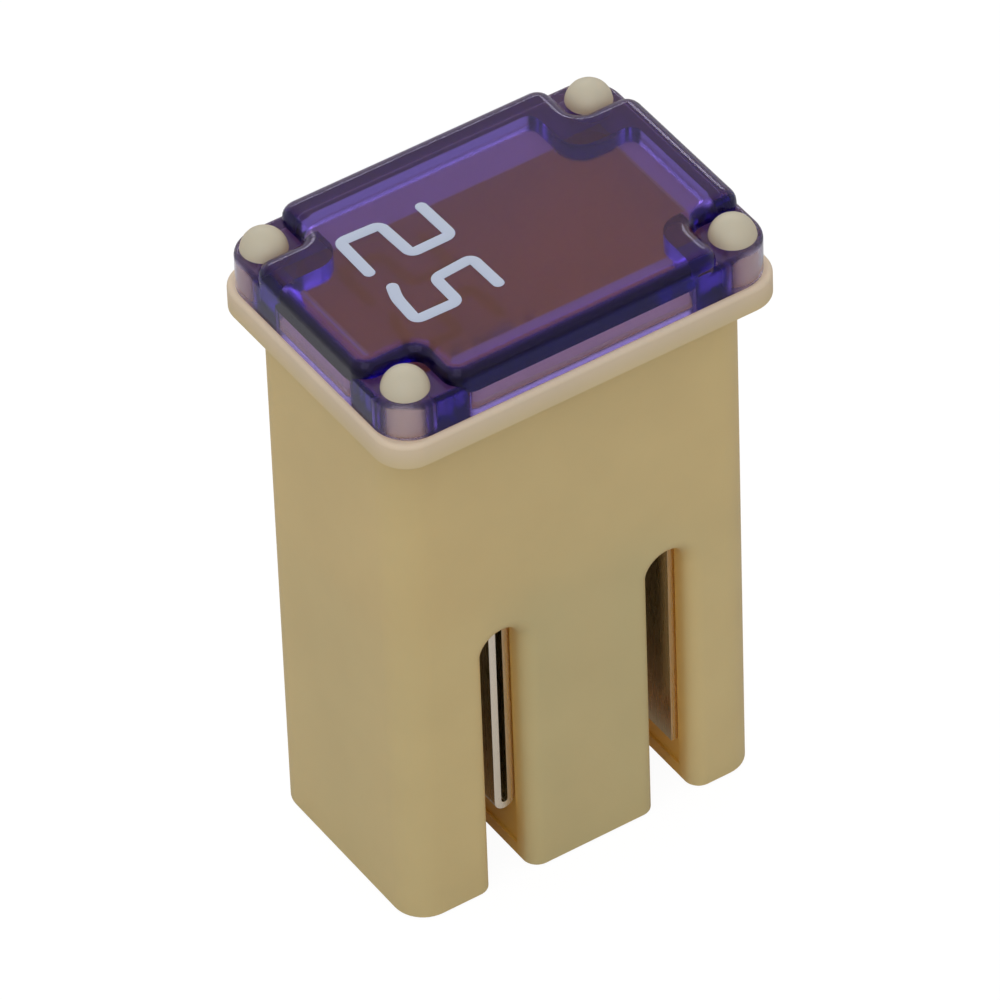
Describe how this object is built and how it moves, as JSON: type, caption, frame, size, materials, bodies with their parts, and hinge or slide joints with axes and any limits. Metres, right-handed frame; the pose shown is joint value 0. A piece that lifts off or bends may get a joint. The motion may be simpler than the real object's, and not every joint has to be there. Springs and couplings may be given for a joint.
{
  "type": "micro female fuse",
  "caption": "Rectangular cartridge fuse with female blade terminals in slotted legs, a flanged housing and a heat-staked translucent cover.",
  "frame": {"origin": "middle of the face that the legs stand on, at the middle of the width and depth", "axes": "+Z from the legs up to the cover, +X along the wide side, -Y towards the front"},
  "size_m": [0.015, 0.0108, 0.0244],
  "materials": {
    "housing_plastic": "moulded, fine matte, slightly translucent at thin edges",
    "cover_plastic": "moulded, clear violet, glossy",
    "element_metal": "stamped copper alloy, tin plated, satin",
    "pellet_tin": "cast tin, dull"
  },
  "bodies": {
    "root": {"housing": "housing_plastic", "cover": "cover_plastic", "fuse_element": "element_metal", "tin_pellet": "pellet_tin"}
  },
  "joints": []
}
